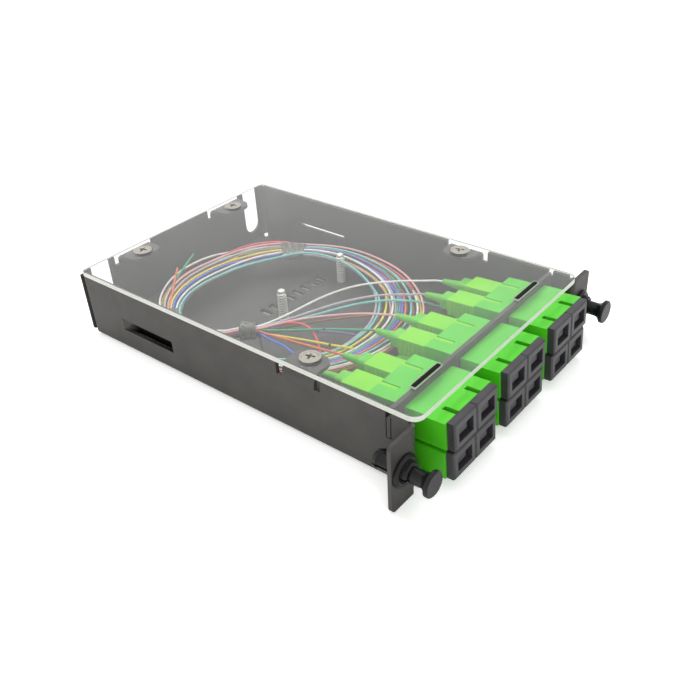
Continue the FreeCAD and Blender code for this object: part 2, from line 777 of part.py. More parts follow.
def fibre_routes():
    """Route of each fibre from its boot's tip to the bundle's face."""
    lower, upper = row_heights
    ports = [y + port_pitch * side for y in adapter_ys for side in (-0.5, 0.5)]
    chosen = [
        (ports[5], upper, [(-55.4, 36.4, 16.5), (-63.4, 31.6, 16.3), (-70.5, 25.8, 16.1), (-76.3, 20.2, 15.8),
                           (-80.7, 13.2, 15.4), (-83.9, 4.8, 15.0), (-85.6, -5.1, 14.6), (-87.0, -14.4, 14.2)],
         (-1, 1.5)),
        (ports[4], upper, [(-54.2, 25.0, 16.3), (-60.4, 20.4, 15.8), (-67.0, 14.8, 15.4), (-72.4, 8.4, 14.9),
                           (-76.2, 1.0, 14.6), (-79.6, -6.8, 14.3), (-84.2, -17.0, 14.1)], (0, 1.5)),
        (ports[3], upper, [(-54.4, 4.6, 16.2), (-61.4, 0.8, 15.6), (-68.2, -3.2, 15.1), (-74.6, -8.4, 14.7),
                           (-80.6, -14.6, 14.4), (-85.6, -20.8, 14.1)], (1, 1.5)),
        (ports[2], upper, [(-54.0, -8.8, 16.2), (-60.6, -11.8, 15.7), (-67.2, -15.0, 15.1), (-73.4, -18.6, 14.4),
                           (-79.6, -22.2, 13.8), (-85.8, -25.6, 13.3)], (0, 0.5)),
        (ports[1], upper, [(-54.4, -26.8, 16.1), (-61.8, -27.5, 15.5), (-69.7, -27.9, 14.8),
                           (-77.6, -28.0, 14.0), (-84.8, -28.4, 13.4)], (1, 0.5)),
        (ports[0], upper, [(-55.2, -37.4, 16.2), (-62.6, -35.0, 15.7), (-69.4, -32.6, 15.2),
                           (-76.0, -30.8, 14.2), (-82.8, -29.9, 13.0)], (1, -0.5)),
        (ports[5], lower, [(-54.4, 34.8, 6.4), (-62.6, 28.8, 7.6), (-70.4, 21.4, 8.9), (-75.2, 12.6, 9.9),
                           (-77.6, 4.0, 10.9), (-80.2, -5.4, 11.9), (-84.4, -16.4, 12.9)], (-1, 0.5)),
        (ports[4], lower, [(-54.8, 22.4, 6.4), (-61.4, 15.8, 7.6), (-67.6, 8.2, 8.8), (-72.8, 0.6, 9.8),
                           (-78.4, -7.8, 10.6), (-85.2, -18.4, 11.2)], (-1, -1.5)),
        (ports[3], lower, [(-54.8, 2.8, 6.4), (-62.2, -3.2, 7.7), (-69.8, -9.6, 9.2), (-77.2, -16.4, 10.6),
                           (-84.2, -23.0, 11.7)], (0, -0.5)),
        (ports[2], lower, [(-54.6, -9.8, 6.4), (-62.4, -13.2, 7.7), (-70.2, -17.4, 8.9), (-77.4, -22.0, 10.0),
                           (-84.2, -26.0, 10.9)], (0, -1.5)),
        (ports[1], lower, [(-55.2, -26.4, 6.4), (-61.8, -23.4, 8.5), (-67.0, -19.4, 11.0), (-73.0, -16.8, 12.9),
                           (-79.4, -16.8, 13.1), (-85.2, -20.4, 12.7)], (-1, -0.5)),
        (ports[0], lower, [(-55.2, -36.8, 6.4), (-63.4, -34.4, 7.8), (-72.4, -31.8, 9.2),
                           (-81.6, -30.2, 10.5)], (1, -1.5)),
    ]
    routes = []
    for y, low, middle, entry in chosen:
        straight = [hung_point(boot_tip + step, y, low + port_lift, low) for step in (fibre_in_boot, -fibre_in_boot)]
        routes.append(straight + middle + [bundle_entry(*entry, before) for before in (fibre_lead, 0.0)])
    return routes


def build():
    save("tray", tray())
    save("adapter_plate", adapter_plate())
    save("cover", cover())
    save("cover_screws", *[cover_screw(x, y) for x, y in screw_places()])
    save("studs", *[stud(x, y) for x, y in stud_places()])
    for name, side in sides:
        for piece, shape in (("grommet", grommet()), ("plunger", plunger())):
            save(piece + "_" + name, shape if side > 0 else mirrored(shape))
    sleeves, ferrules = [], []
    for row, low in zip(("lower", "upper"), row_heights):
        for column, y in enumerate(adapter_ys, 1):
            save("adapter_%s_%d" % (row, column), hung(adapter(y, low), low))
            for number, (port_y, port_z) in enumerate(port_places(y, low), 2 * column - 1):
                for piece, shape in (("dust_cap", dust_cap(port_y, port_z)), ("connector", connector(port_y, port_z)),
                                     ("boot", boot(port_y, port_z))):
                    save("%s_%s_%d" % (piece, row, number), hung(shape, low))
                sleeves.append(hung(alignment_sleeve(port_y, port_z), low))
                ferrules.append(hung(ferrule(port_y, port_z), low))
    save("alignment_sleeves", *sleeves)
    save("ferrules", *ferrules)
    save("fibre_coil", fibre_coil())
    save("fanout_fibres", *[tube(route) for route in fibre_routes()])
    save("wrap_bundle", bundle_wrap())
    for name, angle in wrap_angles.items():
        save("wrap_" + name, band_wrap(angle))


build()
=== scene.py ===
import bpy
import math
import random
from mathutils import Matrix, Vector


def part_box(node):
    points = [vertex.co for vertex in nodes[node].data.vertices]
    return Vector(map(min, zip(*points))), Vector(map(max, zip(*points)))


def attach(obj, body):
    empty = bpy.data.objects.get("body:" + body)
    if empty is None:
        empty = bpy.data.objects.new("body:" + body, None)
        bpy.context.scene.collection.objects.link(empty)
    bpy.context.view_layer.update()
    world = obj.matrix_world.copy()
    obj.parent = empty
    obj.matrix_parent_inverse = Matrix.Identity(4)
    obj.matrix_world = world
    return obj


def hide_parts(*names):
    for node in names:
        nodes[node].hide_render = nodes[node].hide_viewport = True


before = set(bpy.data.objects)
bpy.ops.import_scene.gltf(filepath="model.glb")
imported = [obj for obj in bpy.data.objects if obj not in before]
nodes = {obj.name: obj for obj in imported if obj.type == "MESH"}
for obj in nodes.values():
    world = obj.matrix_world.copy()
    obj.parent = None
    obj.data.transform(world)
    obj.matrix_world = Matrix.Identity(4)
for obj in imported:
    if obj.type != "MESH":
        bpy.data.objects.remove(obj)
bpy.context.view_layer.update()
mm = 0.001
ports = range(1, 7)
rows = ("lower", "upper")


def deselectAll():
    if bpy.context.mode != "OBJECT":
        bpy.ops.object.mode_set(mode="OBJECT")
    bpy.ops.object.select_all(action="DESELECT")


def activate(piece):
    deselectAll()
    piece.select_set(True)
    bpy.context.view_layer.objects.active = piece


def applyModifiers(piece):
    activate(piece)
    for modifier in list(piece.modifiers):
        bpy.ops.object.modifier_apply(modifier=modifier.name)


def settle(piece):  # the place goes into the mesh, and the object back to the origin
    activate(piece)
    bpy.ops.object.transform_apply(location=True, rotation=True, scale=True)


def mergeDoubles(piece, distance, outward=False):  # outward also turns every face to the outside
    activate(piece)
    bpy.ops.object.mode_set(mode="EDIT")
    bpy.ops.mesh.select_all(action="SELECT")
    bpy.ops.mesh.remove_doubles(threshold=distance)
    if outward:
        bpy.ops.mesh.normals_make_consistent(inside=False)
    bpy.ops.object.mode_set(mode="OBJECT")


def pick(piece, kind, test):  # edit mode with the chosen edges or faces selected
    activate(piece)
    bpy.ops.object.mode_set(mode="EDIT")
    bpy.ops.mesh.select_mode(type=kind)
    bpy.ops.mesh.select_all(action="DESELECT")
    bpy.ops.object.mode_set(mode="OBJECT")
    mesh = piece.data
    if kind == "EDGE":
        for edge in mesh.edges:
            ends = [mesh.vertices[index].co for index in edge.vertices]
            edge.select = test(*ends)
    else:
        for face in mesh.polygons:
            face.select = test(face)
    bpy.ops.object.mode_set(mode="EDIT")


def ready(name, material, smooth=None):  # names, dresses and fixes the active piece to the case
    piece = bpy.context.view_layer.objects.active
    piece.name = name
    piece.data.materials.clear()
    piece.data.materials.append(material)
    settle(piece)
    if smooth:
        bpy.ops.object.shade_smooth_by_angle(angle=math.radians(smooth))
    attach(piece, "root")
    return piece


# The camera's place in metres, its aim in degrees, and its lens, sensor and nearest distance.
cameraView = {
    "place": (0.11153, -0.20859, 0.18358),
    "azimuth": 40.62,
    "elevation": 34.01,
    "roll": -3.37,
    "lens": 42.38,
    "sensor": 36,
    "nearest": 0.01,
}


def addCamera(view):
    turn, lift, roll = (math.radians(view[key]) for key in ("azimuth", "elevation", "roll"))
    back = Vector((math.sin(turn) * math.cos(lift), -math.cos(turn) * math.cos(lift), math.sin(lift)))
    right = Vector((0, 0, 1)).cross(back).normalized()
    up = back.cross(right)
    tiltedRight = right * math.cos(roll) + up * math.sin(roll)
    tiltedUp = up * math.cos(roll) - right * math.sin(roll)
    bpy.ops.object.camera_add(location=view["place"])
    camera = bpy.context.object
    axes = Matrix((tiltedRight, tiltedUp, back)).transposed()
    camera.matrix_world = Matrix.Translation(view["place"]) @ axes.to_4x4()
    camera.data.lens = view["lens"]
    camera.data.sensor_width = view["sensor"]
    camera.data.clip_start = view["nearest"]
    bpy.context.scene.camera = camera


addCamera(cameraView)
print("camera set")


def colour(hexCode):  # sRGB hex to linear
    channels = [int(hexCode[i:i + 2], 16) / 255 for i in (1, 3, 5)]
    linear = [c / 12.92 if c <= 0.04045 else ((c + 0.055) / 1.055) ** 2.4 for c in channels]
    return (*linear, 1.0)


def tones(dark, light, low=0.35, high=0.65):  # the levels of a pattern where its two colours set in
    return [(low, colour(dark)), (high, colour(light))]


def addNode(tree, kind, settings=None, links=None):
    node = tree.nodes.new(kind)
    for key, value in (settings or {}).items():
        if key == "tones":
            for stop, (level, shade) in zip(node.color_ramp.elements, value):
                stop.position = level
                stop.color = shade
        elif isinstance(key, str) and hasattr(node, key):
            setattr(node, key, value)
        else:
            node.inputs[key].default_value = value
    for key, source in (links or {}).items():
        tree.links.new(source[0].outputs[source[1]], node.inputs[key])
    return node


def startMaterial(name, settings):
    material = bpy.data.materials.new(name)
    material.use_nodes = True
    tree = material.node_tree
    shader = tree.nodes["Principled BSDF"]
    for key, value in settings.items():
        shader.inputs[key].default_value = value
    place = addNode(tree, "ShaderNodeTexCoord")
    return material, tree, shader, place


# Sizes of patterns and softened edges are in mm. Grain and texture are drawn as coarse as they need to show.
powderCoat = {
    "grain": 0.35,
    "mottle": 9.0,
    "edge": 0.35,
    "relief": 0.03,
    "dark": "#3b3936",
    "light": "#44413d",
    # painted shade: the near-black colour laid on the case where its recesses are marked
    "shade": "#060606",
    "sheen": 0.5,
    # the sheen left where shade is painted
    "paintedShadeSheen": 0.06,
}


def powderCoatedSteel():  # baked polyester powder on steel: dark, finely pebbled, a dull sheen
    material, tree, shader, place = startMaterial("powderCoatedSteel", {"Roughness": 0.5, "IOR": 1.5})
    grain = addNode(tree, "ShaderNodeTexNoise", {"Scale": 1 / (powderCoat["grain"] * mm), "Detail": 2.0},
                    {"Vector": (place, "Object")})
    mottle = addNode(tree, "ShaderNodeTexNoise", {"Scale": 1 / (powderCoat["mottle"] * mm), "Detail": 4.0},
                     {"Vector": (place, "Object")})
    tone = addNode(tree, "ShaderNodeValToRGB", {"tones": tones(powderCoat["dark"], powderCoat["light"])},
                   {"Fac": (mottle, "Fac")})
    # Painted shade: an attribute set on the case's recesses mixes in the near-black shade colour and turns
    # the sheen down, in place of shade the lamps don't cast there.
    paintedShade = addNode(tree, "ShaderNodeAttribute", {"attribute_name": "paintedShade"})
    shaded = addNode(tree, "ShaderNodeMixRGB", {"Color2": colour(powderCoat["shade"])},
                     {"Fac": (paintedShade, "Fac"), "Color1": (tone, "Color")})
    sheen = addNode(tree, "ShaderNodeMapRange",
                    {"To Min": powderCoat["sheen"], "To Max": powderCoat["paintedShadeSheen"]},
                    {"Value": (paintedShade, "Fac")})
    rounded = addNode(tree, "ShaderNodeBevel", {"samples": 4, "Radius": powderCoat["edge"] * mm})
    bump = addNode(tree, "ShaderNodeBump", {"Strength": 0.35, "Distance": powderCoat["relief"] * mm},
                   {"Height": (grain, "Fac"), "Normal": (rounded, "Normal")})
    tree.links.new(shaded.outputs["Color"], shader.inputs["Base Color"])
    tree.links.new(sheen.outputs["Result"], shader.inputs["Specular IOR Level"])
    tree.links.new(bump.outputs["Normal"], shader.inputs["Normal"])
    return material


mouldings = {
    "polyesterMoulding": {  # adapters, glass-filled polyester: fresh green, even, softly shining
        "cloud": 14.0, "texture": 0.25, "edge": 0.25, "dark": "#45bf18", "light": "#50c820",
        "roughness": 0.36, "sheen": 0.5},
    "housingMoulding": {  # connector housings, unfilled polyester: yellow-green, with little shine
        "cloud": 10.0, "texture": 0.2, "edge": 0.25, "dark": "#76d210", "light": "#82da16",
        "roughness": 0.34, "sheen": 0.3},
    "bootElastomer": {  # boots, thermoplastic elastomer: soft to the touch, nearly matt green
        "cloud": 8.0, "texture": 0.3, "edge": 0.2, "dark": "#5cbc2a", "light": "#68c632",
        "roughness": 0.5, "sheen": 0.5},
    "capMoulding": {  # dust caps, polypropylene: charcoal with a slight sheen
        "cloud": 6.0, "texture": 0.22, "edge": 0.3, "dark": "#353437", "light": "#3e3c40",
        "roughness": 0.4, "sheen": 0.5},
    "nylonMoulding": {  # grommets and plungers, nylon: near black, with thin highlights
        "cloud": 5.0, "texture": 0.2, "edge": 0.3, "dark": "#121214", "light": "#18181a",
        "roughness": 0.34, "sheen": 0.3},
}


def mouldedPlastic(name):  # injection moulding: faint flow clouds under a fine eroded texture
    recipe = mouldings[name]
    material, tree, shader, place = startMaterial(name, {
        "Roughness": recipe["roughness"], "IOR": 1.5, "Specular IOR Level": recipe["sheen"]})
    cloud = addNode(tree, "ShaderNodeTexNoise", {"Scale": 1 / (recipe["cloud"] * mm), "Detail": 3.0},
                    {"Vector": (place, "Object")})
    fine = addNode(tree, "ShaderNodeTexNoise", {"Scale": 1 / (recipe["texture"] * mm), "Detail": 1.0},
                   {"Vector": (place, "Object")})
    tone = addNode(tree, "ShaderNodeValToRGB", {"tones": tones(recipe["dark"], recipe["light"])},
                   {"Fac": (cloud, "Fac")})
    rounded = addNode(tree, "ShaderNodeBevel", {"samples": 4, "Radius": recipe["edge"] * mm})
    bump = addNode(tree, "ShaderNodeBump", {"Strength": 0.12, "Distance": 0.02 * mm},
                   {"Height": (fine, "Fac"), "Normal": (rounded, "Normal")})
    tree.links.new(tone.outputs["Color"], shader.inputs["Base Color"])
    tree.links.new(bump.outputs["Normal"], shader.inputs["Normal"])
    return material


acrylic = {
    "sheet": "#fbfdfc",
    "passed": "#fcfcfc",  # what is left of the light that goes straight through
    "veil": "#f4f4f0",
    "haze": 0.01,
    "level": 0.7,  # faces that lie flatter than this are polished, the others sawn
    "sawMarks": 0.5,
    "dark": "#e6e6df",
    "light": "#f6f6f0",
    "glow": "#f4f4ee",
    "glowing": 0.4,
}


def clearAcrylic():  # cast acrylic: polished faces, saw-cut edges that scatter light and look white
    material, tree, shader, place = startMaterial("clearAcrylic", {
        "Base Color": colour(acrylic["sheet"]), "Roughness": 0.0, "IOR": 1.49, "Transmission Weight": 1.0})
    shape = addNode(tree, "ShaderNodeNewGeometry")
    facing = addNode(tree, "ShaderNodeSeparateXYZ", links={"Vector": (shape, "Normal")})
    upward = addNode(tree, "ShaderNodeMath", {"operation": "ABSOLUTE"}, {0: (facing, "Z")})
    cutEdge = addNode(tree, "ShaderNodeMath", {"operation": "LESS_THAN", 1: acrylic["level"]},
                      {0: (upward, "Value")})
    sawMarks = addNode(tree, "ShaderNodeTexNoise", {"Scale": 1 / (acrylic["sawMarks"] * mm), "Detail": 2.0},
                       {"Vector": (place, "Object")})
    edgeTone = addNode(tree, "ShaderNodeValToRGB", {"tones": tones(acrylic["dark"], acrylic["light"])},
                       {"Fac": (sawMarks, "Fac")})
    frosted = addNode(tree, "ShaderNodeBsdfPrincipled",
                      {"Roughness": 0.4, "IOR": 1.49, "Transmission Weight": 0.15},
                      {"Base Color": (edgeTone, "Color")})
    glow = addNode(tree, "ShaderNodeBsdfTranslucent", {"Color": colour(acrylic["glow"])})
    edge = addNode(tree, "ShaderNodeMixShader", {0: acrylic["glowing"]},
                   {1: (frosted, "BSDF"), 2: (glow, "BSDF")})
    light = addNode(tree, "ShaderNodeLightPath")
    clear = addNode(tree, "ShaderNodeBsdfTransparent", {"Color": colour(acrylic["passed"])})
    passing = addNode(tree, "ShaderNodeMath", {"operation": "MAXIMUM"},
                      {0: (light, "Is Shadow Ray"), 1: (light, "Is Diffuse Ray")})
    polished = addNode(tree, "ShaderNodeMixShader",
                       links={0: (passing, "Value"), 1: (shader, "BSDF"), 2: (clear, "BSDF")})
    veil = addNode(tree, "ShaderNodeBsdfDiffuse", {"Color": colour(acrylic["veil"])})
    hazy = addNode(tree, "ShaderNodeMixShader", {0: acrylic["haze"]},
                   {1: (polished, "Shader"), 2: (veil, "BSDF")})
    whole = addNode(tree, "ShaderNodeMixShader",
                    links={0: (cutEdge, "Value"), 1: (hazy, "Shader"), 2: (edge, "Shader")})
    tree.links.new(whole.outputs["Shader"], tree.nodes["Material Output"].inputs["Surface"])
    return material


nickel = {"marks": 0.25, "relief": 0.02, "dark": "#b9b5ab", "light": "#d0ccc2"}


def nickelPlate():  # bright nickel over turned steel: warm mirror with fine turning marks
    material, tree, shader, place = startMaterial("nickelPlate", {"Metallic": 1.0, "Roughness": 0.22})
    marks = addNode(tree, "ShaderNodeTexNoise", {"Scale": 1 / (nickel["marks"] * mm), "Detail": 2.0},
                    {"Vector": (place, "Object")})
    tone = addNode(tree, "ShaderNodeValToRGB", {"tones": tones(nickel["dark"], nickel["light"])},
                   {"Fac": (marks, "Fac")})
    bump = addNode(tree, "ShaderNodeBump", {"Strength": 0.08, "Distance": nickel["relief"] * mm},
                   {"Height": (marks, "Fac")})
    tree.links.new(tone.outputs["Color"], shader.inputs["Base Color"])
    tree.links.new(bump.outputs["Normal"], shader.inputs["Normal"])
    return material


zinc = {"bloom": 0.7, "dark": "#e2dfd6", "light": "#f5f3ec", "rootShadeColour": "#5e5c57"}


def zincPlate():  # passivated zinc on the studs: pale crests, with painted shade darkening the thread's root
    material, tree, shader, place = startMaterial("zincPlate", {"Metallic": 0.6, "Roughness": 0.5})
    bloom = addNode(tree, "ShaderNodeTexNoise", {"Scale": 1 / (zinc["bloom"] * mm), "Detail": 2.0},
                    {"Vector": (place, "Object")})
    tone = addNode(tree, "ShaderNodeValToRGB", {"tones": tones(zinc["dark"], zinc["light"])},
                   {"Fac": (bloom, "Fac")})
    # painted shade: the root colour is mixed in where the stud marks its thread root
    root = addNode(tree, "ShaderNodeAttribute", {"attribute_name": "threadRoot"})
    paintedRootShade = addNode(tree, "ShaderNodeMixRGB", {"Color2": colour(zinc["rootShadeColour"])},
                     {"Fac": (root, "Fac"), "Color1": (tone, "Color")})
    tree.links.new(paintedRootShade.outputs["Color"], shader.inputs["Base Color"])
    return material


ceramic = {"cloud": 2.0, "dark": "#e6e4da", "light": "#efede4"}


def zirconia():  # sintered and polished ceramic: dense warm white
    material, tree, shader, place = startMaterial("zirconia", {"Roughness": 0.12, "IOR": 2.1})
    cloud = addNode(tree, "ShaderNodeTexNoise", {"Scale": 1 / (ceramic["cloud"] * mm)},
                    {"Vector": (place, "Object")})
    tone = addNode(tree, "ShaderNodeValToRGB", {"tones": tones(ceramic["dark"], ceramic["light"])},
                   {"Fac": (cloud, "Fac")})
    tree.links.new(tone.outputs["Color"], shader.inputs["Base Color"])
    return material


jacket = {"cloud": 3.0, "deeper": 14}  # the cloud's dark side is 14 of 255 below the jacket's colour


def fibreJacket(name, hexCode):  # extruded tight buffer: smooth, coloured right through
    material, tree, shader, place = startMaterial(name + "Jacket", {"Roughness": 0.38, "IOR": 1.48})
    cloud = addNode(tree, "ShaderNodeTexNoise", {"Scale": 1 / (jacket["cloud"] * mm)},
                    {"Vector": (place, "Object")})
    channels = [max(0, int(hexCode[i:i + 2], 16) - jacket["deeper"]) for i in (1, 3, 5)]
    tone = addNode(tree, "ShaderNodeValToRGB", {"tones": tones("#%02x%02x%02x" % tuple(channels), hexCode)},
                   {"Fac": (cloud, "Fac")})
    tree.links.new(tone.outputs["Color"], shader.inputs["Base Color"])
    return material


film = {"crease": 1.3, "relief": 0.2, "dark": "#43413d", "light": "#86837b"}


def wrapTape():  # dark elastic film stretched round the fibres: satin with pale stretch creases
    material, tree, shader, place = startMaterial("wrapTape", {"Roughness": 0.36, "IOR": 1.5})
    crease = addNode(tree, "ShaderNodeTexNoise",
                     {"Scale": 1 / (film["crease"] * mm), "Detail": 3.0, "Distortion": 1.2},
                     {"Vector": (place, "Object")})
    tone = addNode(tree, "ShaderNodeValToRGB", {"tones": tones(film["dark"], film["light"], 0.4, 0.7)},
                   {"Fac": (crease, "Fac")})
    bump = addNode(tree, "ShaderNodeBump", {"Strength": 0.5, "Distance": film["relief"] * mm},
                   {"Height": (crease, "Fac")})
    tree.links.new(tone.outputs["Color"], shader.inputs["Base Color"])
    tree.links.new(bump.outputs["Normal"], shader.inputs["Normal"])
    return material


steelLook = powderCoatedSteel()
acrylicLook = clearAcrylic()
nickelLook = nickelPlate()
zincLook = zincPlate()
ceramicLook = zirconia()
tapeLook = wrapTape()
adapterLook = mouldedPlastic("polyesterMoulding")
housingLook = mouldedPlastic("housingMoulding")
bootLook = mouldedPlastic("bootElastomer")
capLook = mouldedPlastic("capMoulding")
nylonLook = mouldedPlastic("nylonMoulding")


def dress(names, material):
    for name in names:
        node = nodes[name]
        if not node.material_slots:
            node.data.materials.append(material)
        for slot in node.material_slots:
            slot.material = material


dress(["alignment_sleeves", "ferrules"], ceramicLook)
dress(["grommet_left", "grommet_right", "plunger_left", "plunger_right"], nylonLook)
for row in rows:
    dress([f"adapter_{row}_{column}" for column in (1, 2, 3)], adapterLook)
    dress([f"dust_cap_{row}_{port}" for port in ports], capLook)
    dress([f"connector_{row}_{port}" for port in ports], housingLook)
    dress([f"boot_{row}_{port}" for port in ports], bootLook)
print("solids dressed")


# Case sizes in mm. The strips beside the side windows run on to the windows' front ends: the left one
# loses a little at its top, and the right one hangs deeper. The relief holes at the rear bottom corners
# shrink to a smaller radius.
strips = {
    "x": (-135.0, -113.0),
    "y": (48, 52.5),
    "z": (9.8, 14.2),
    "end": -114.0,
    "reach": 2.7,
    "top": 14.15,
    "lower": 0.7,
    "foot": 9.85,
    "deeper": 1.6,
    "near": 0.1,
}
reliefHoles = {"x": -161.3, "y": 50.5, "radius": 1.3, "smaller": 0.75, "top": 1.6, "near": 0.03}

# Painted shade where little light reaches: the right window's recess, the back wall's ends and the plate's
# tab tops.
paintedShades = {
    "x": (-141, -110.8),
    "y": (-53, -48.4),
    "z": (8.2, 14.6),
    "lining": -51,
    "front": -135.5,
    "dark": 1.0,
    "dim": 0.3,
    "back": -162.2,
    "floor": 3,
    "ends": 0.9,
    "tabs": 0.9,
}
coverGap = 0.05  # keeps the sheet's underside clear of the tabs it rests on
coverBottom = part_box("cover")[0].z


def within(value, span):
    return span[0] < value < span[1]


def copyNode(name):  # a copy with its own merged mesh
    node = nodes[name]
    piece = node.copy()
    piece.data = node.data.copy()
    bpy.context.scene.collection.objects.link(piece)
    mergeDoubles(piece, 0.000001)
    return piece


def shapeTray(mesh):
    for vertex in mesh.vertices:
        x, y, z = vertex.co / mm
        if within(x, strips["x"]) and within(abs(y), strips["y"]) and within(z, strips["z"]):
            if y > 0 and z > strips["top"] - strips["near"]:
                vertex.co.z -= strips["lower"] * mm
            if y < 0 and z < strips["foot"] + strips["near"]:
                vertex.co.z -= strips["deeper"] * mm
            if abs(x - strips["end"]) < strips["near"]:
                vertex.co.x += strips["reach"] * mm
        offset = Vector((x - reliefHoles["x"], abs(y) - reliefHoles["y"]))
        if z < reliefHoles["top"] and abs(offset.length - reliefHoles["radius"]) < reliefHoles["near"]:
            offset *= reliefHoles["smaller"] / reliefHoles["radius"]
            vertex.co.x = (reliefHoles["x"] + offset.x) * mm
            vertex.co.y = math.copysign(reliefHoles["y"] + offset.y, y) * mm


def shadeTray(mesh):
    # painted shade: near black over the right window's recess, fading at its rear end, and dark on the back
    # wall's ends
    paintedShade = mesh.attributes.new("paintedShade", "FLOAT", "CORNER")
    for face in mesh.polygons:
        x, y, z = face.center / mm
        sideways = abs(face.normal.y) > 0.9
        recess = within(x, paintedShades["x"]) and within(y, paintedShades["y"]) and within(z, paintedShades["z"])
        if sideways and y < paintedShades["lining"]:
            recess = False
        backEnd = sideways and x < paintedShades["back"] and z > paintedShades["floor"]
        for corner in face.loop_indices:
            along = mesh.vertices[mesh.loops[corner].vertex_index].co.x / mm
            if recess and along > paintedShades["front"]:
                paintedShade.data[corner].value = paintedShades["dark"]
            elif recess and not sideways:
                paintedShade.data[corner].value = paintedShades["dim"]
            elif backEnd:
                paintedShade.data[corner].value = paintedShades["ends"]


def makeTray():
    tray = copyNode("tray")
    shapeTray(tray.data)
    shadeTray(tray.data)
    tray = ready("tray_sheet", steelLook)
    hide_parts("tray")


def makePlate():  # the tops of its tabs stand in the cover's slots
    plate = copyNode("adapter_plate")
    # painted shade on the tab tops that stand up into the cover's slots
    paintedShade = plate.data.attributes.new("paintedShade", "FLOAT", "POINT")
    for vertex in plate.data.vertices:
        if vertex.co.z > coverBottom:
            paintedShade.data[vertex.index].value = paintedShades["tabs"]
    plate = ready("adapter_sheet", steelLook)
    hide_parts("adapter_plate")


def makeCover():
    sheet = copyNode("cover")
    for vertex in sheet.data.vertices:
        if vertex.co.z < coverBottom + 0.01 * mm:
            vertex.co.z += coverGap * mm
    sheet = ready("cover_sheet", acrylicLook)
    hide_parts("cover")


makeTray()
makePlate()
makeCover()
print("tray and cover laid")


# Fibre sizes in mm and degrees. The fibres meet in a bundle at bundleStart, which sinks a little on its way
# into the coil. There each runs about two turns by falling angle, or to its own end, and sways a little.
fibreSizes = {
    "radius": 0.45,
    "inBoot": 2.0,
    "bundleStart": (-90.3, -27.8, 12.7),
    "bundleHeading": 216.0,
    "bundleSteps": ((-1.5, 1.0), (1.0, 1.0), (5.0, 0.95), (9.0, 0.95), (12.5, 0.9)),  # way on, spread
    "bundleSink": 0.012,
    "pitch": 0.945,
    "firstPlace": 262,
    "coilStart": 248,
    "coilEnd": -500,
    "endSpread": 20,
    "pointsPerTurn": 40,
    "coilDepth": 3.4,
    "coilMiddle": -99.45,
    "sway": 0.012,
}
bootTips = {"upper": (-48.21, 16.56), "lower": (-48.21, 4.86)}
portSides = {1: -38.45, 2: -25.75, 3: -6.35, 4: 6.35, 5: 25.75, 6: 38.45}
bootTilt = math.radians(3.5)

# Outer and inner edge of the coil round its middle: angle, reach to the outside, reach to the inside.
coilBand = [
    (0, 58.8, 42.4), (10, 59.2, 39.9), (17, 59.1, 38.8), (24, 57.0, 37.7), (31, 55.3, 36.6),
    (38, 53.7, 35.6), (48, 51.6, 34.5), (60, 49.6, 33.8), (74, 47.4, 33.8), (88, 46.8, 34.7),
    (101, 46.2, 36.0), (112, 45.3, 37.0), (122, 45.6, 37.2), (130, 48.0, 35.8), (138, 50.0, 33.9),
    (150, 51.3, 33.4), (162, 52.0, 33.2), (175, 53.4, 33.7), (188, 54.8, 35.2), (196, 55.3, 37.3),
    (205, 54.6, 39.4), (214, 54.1, 41.7), (222, 53.4, 43.2), (232, 51.4, 44.6), (245, 48.8, 43.6),
    (258, 47.4, 42.4), (270, 47.2, 42.2), (282, 48.2, 43.2), (295, 51.4, 45.4), (308, 55.6, 46.8),
    (322, 58.0, 47.2), (336, 58.6, 47.0), (347, 58.9, 44.4), (354, 58.8, 43.2),
]

# A turn keeps each of its four places between two angles: the left end, near and far, then the far side
# and the front end.
turnAngles = ((224, 176), (152, 136), (114, 46), (29, -25))

